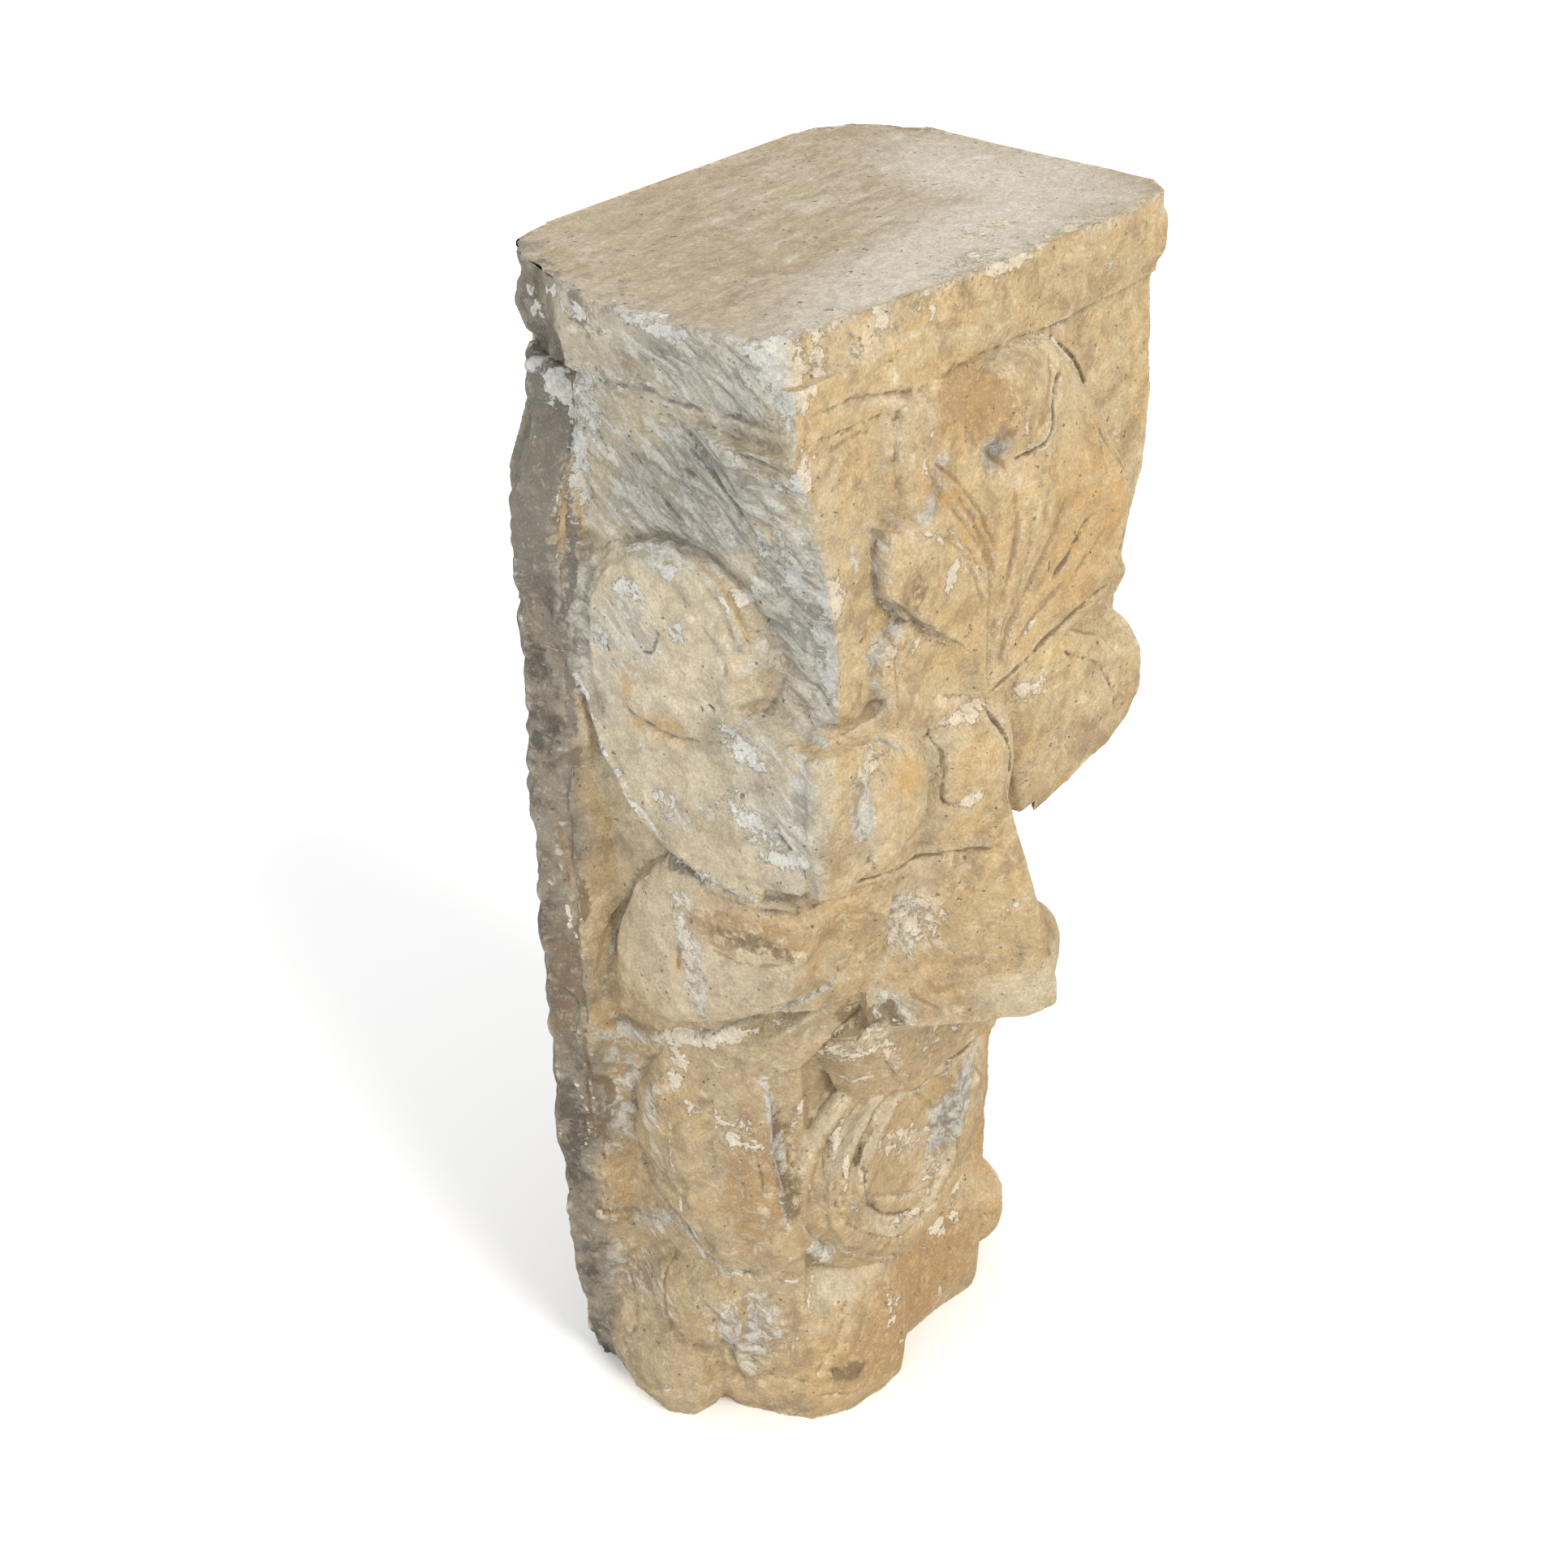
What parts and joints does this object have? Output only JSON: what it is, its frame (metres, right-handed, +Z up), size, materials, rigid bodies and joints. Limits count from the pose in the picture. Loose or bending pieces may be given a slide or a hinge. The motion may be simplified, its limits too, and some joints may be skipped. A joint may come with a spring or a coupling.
{
  "type": "carved keystone",
  "caption": "Carved stone keystone with a grotesque mask on its front and scrolls on its flanks, cut flat on top, back and underside.",
  "frame": {"origin": "middle of the bounding box at the underside, where the stone stands on the floor", "axes": "+Z up from the underside to the top bed, the mask looks towards -Y, +X runs across the front to the mask's own left"},
  "size_m": [0.3282, 0.2708, 0.74],
  "materials": {
    "limestone": "weathered carved limestone, matt, warm ochre front, greyer flanks and a rough dark back strip"
  },
  "bodies": {
    "root": {"carved_keystone": "limestone"}
  },
  "joints": []
}
